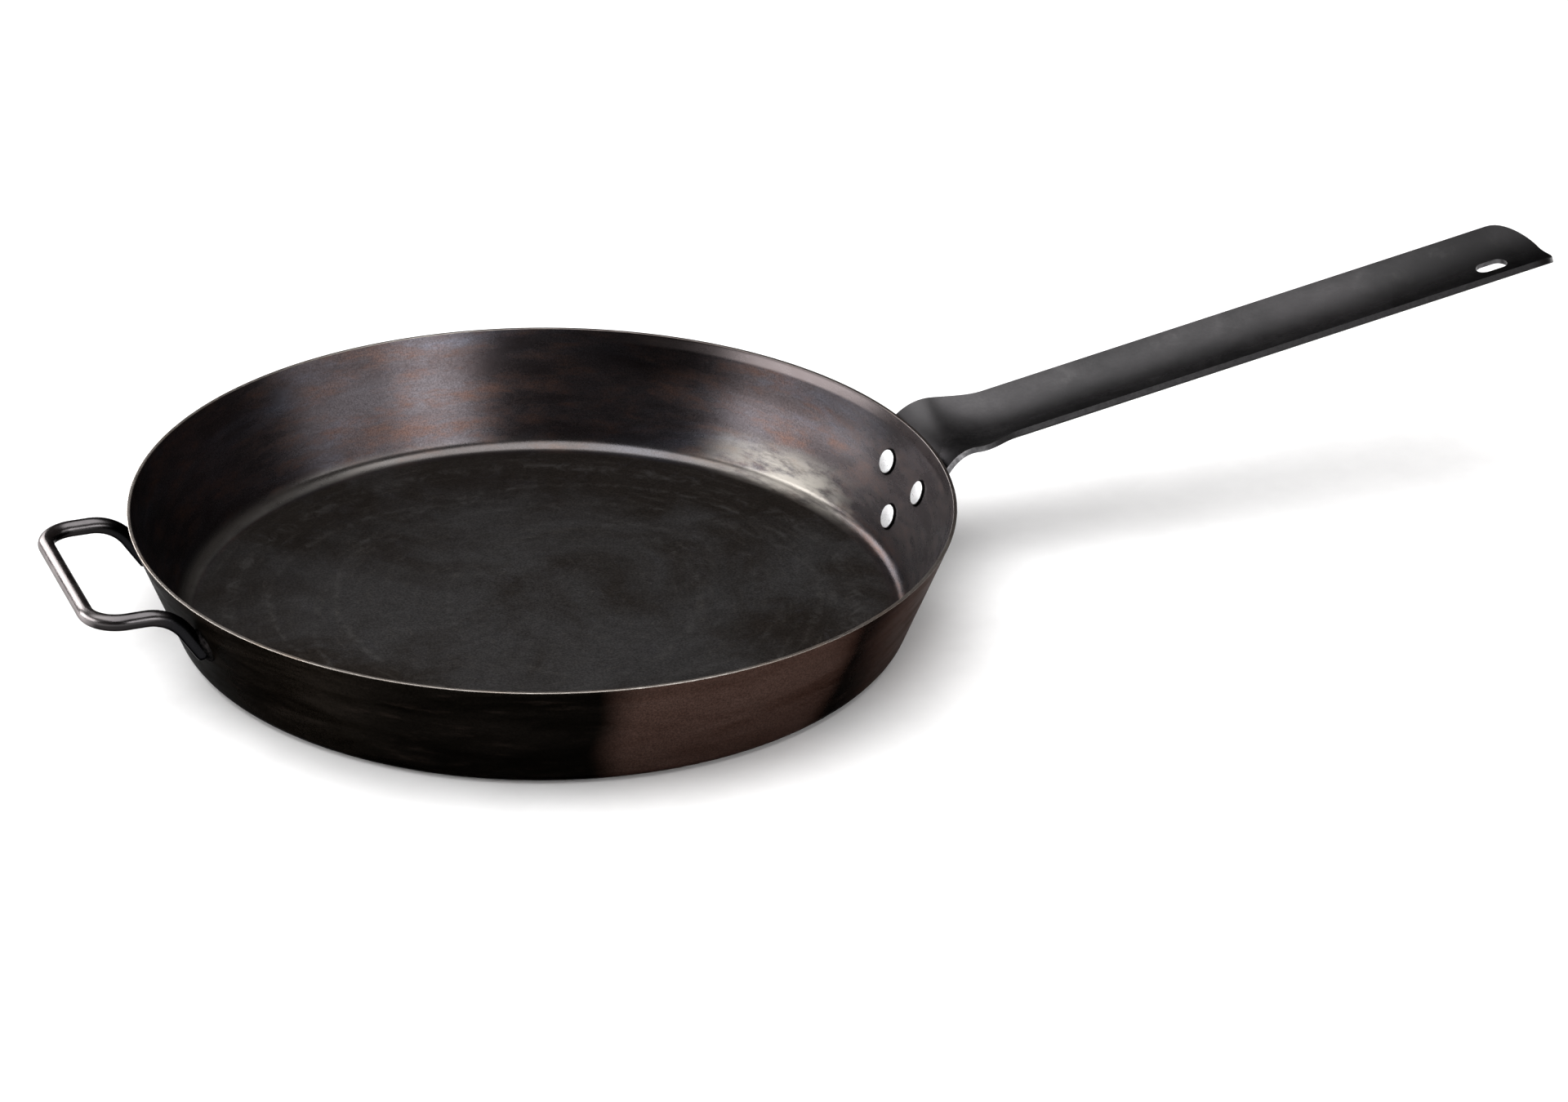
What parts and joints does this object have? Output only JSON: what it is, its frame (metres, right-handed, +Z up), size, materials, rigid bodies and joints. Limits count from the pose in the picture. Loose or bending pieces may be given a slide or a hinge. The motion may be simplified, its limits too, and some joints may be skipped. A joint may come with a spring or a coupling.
{
  "type": "skillet",
  "caption": "Wide, shallow round steel skillet with leaning walls, a long riveted trough-shaped handle with a hanging slot, and a small welded bar handle opposite.",
  "frame": {"origin": "centre of the flat underside, on the pan's axis", "axes": "+Z up out of the pan, +X along the long handle, helper handle towards -X"},
  "size_m": [0.6978, 0.3552, 0.1061],
  "materials": {
    "pan_steel": "seasoned black steel, satin, slightly brown",
    "handle_steel": "dark oxide steel, smooth satin",
    "rivet_metal": "bright, unpolished",
    "helper_bar": "drawn steel bar, dark and glossy, rubbed brighter along the cross bar",
    "weld_metal": "rough dark weld"
  },
  "bodies": {
    "root": {"pan_shell": "pan_steel", "long_handle": "handle_steel", "rivet_upper_left": "rivet_metal", "rivet_upper_right": "rivet_metal", "rivet_lower": "rivet_metal", "helper_handle": "helper_bar", "weld_bead_left": "weld_metal", "weld_bead_right": "weld_metal"}
  },
  "joints": []
}
